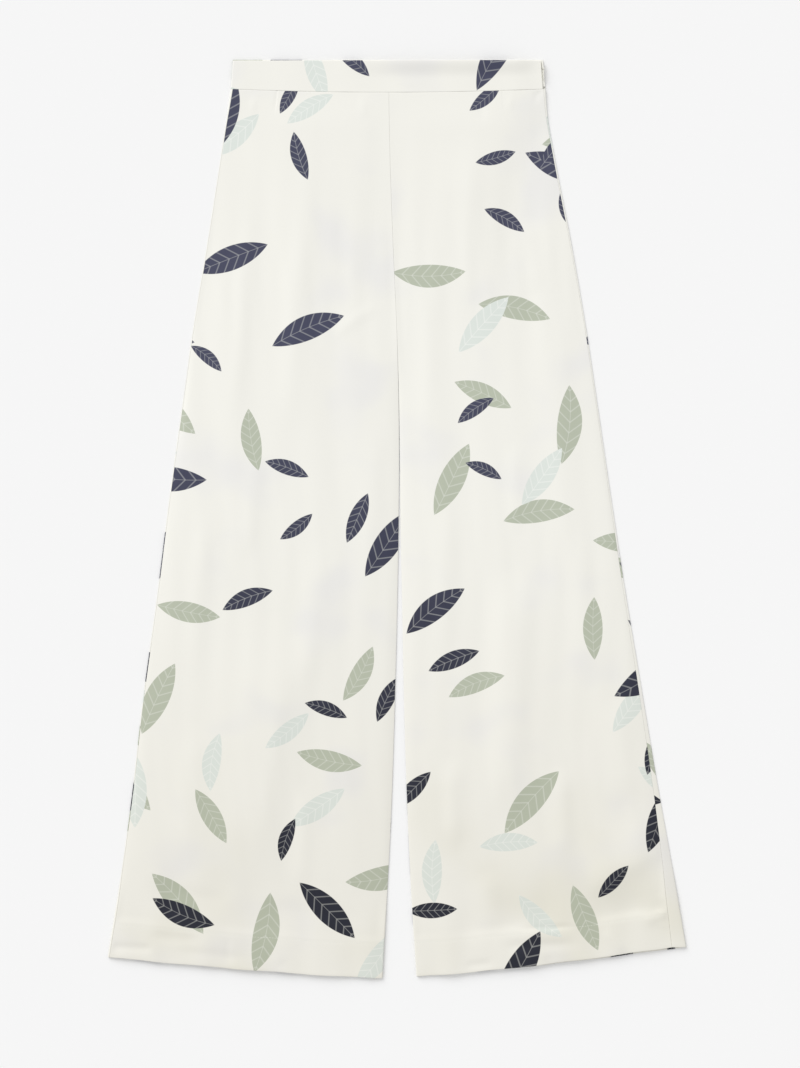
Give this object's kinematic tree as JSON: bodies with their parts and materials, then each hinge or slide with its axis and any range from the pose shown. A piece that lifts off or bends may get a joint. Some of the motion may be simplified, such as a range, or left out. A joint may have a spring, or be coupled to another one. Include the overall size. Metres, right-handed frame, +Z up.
{
  "type": "palazzo pants",
  "caption": "Wide-legged palazzo trousers in printed satin, laid flat, front up, with a fitted waistband, turned-up hems and a concealed side zip.",
  "frame": {"origin": "on the surface that the trousers lie on, under the middle of their outline", "axes": "+X to the wearer's left, +Y from the hems to the waist, +Z up from the surface"},
  "size_m": [0.6633, 1.0538, 0.008],
  "materials": {
    "printed_satin": null,
    "printed_satin_band": "the same satin, doubled and pressed",
    "zip_tape": "ivory woven tape",
    "zip_metal": "ivory enamel"
  },
  "bodies": {
    "garment": {"front_leg_right": "printed_satin", "front_leg_left": "printed_satin", "back_leg_right": "printed_satin", "back_leg_left": "printed_satin", "waistband_front": "printed_satin_band", "waistband_back": "printed_satin_band", "side_zip": "zip_tape", "zip_slider": "zip_metal"},
    "pull_tab": {"zip_pull": "zip_metal"}
  },
  "joints": [
    {"name": "pull_tab_swing", "type": "hinge", "parent": "garment", "child": "pull_tab", "pos_m": [0.1677, 0.5165, 0.0034], "axis": [0, 0, 1], "range_deg": [0, 160]}
  ]
}
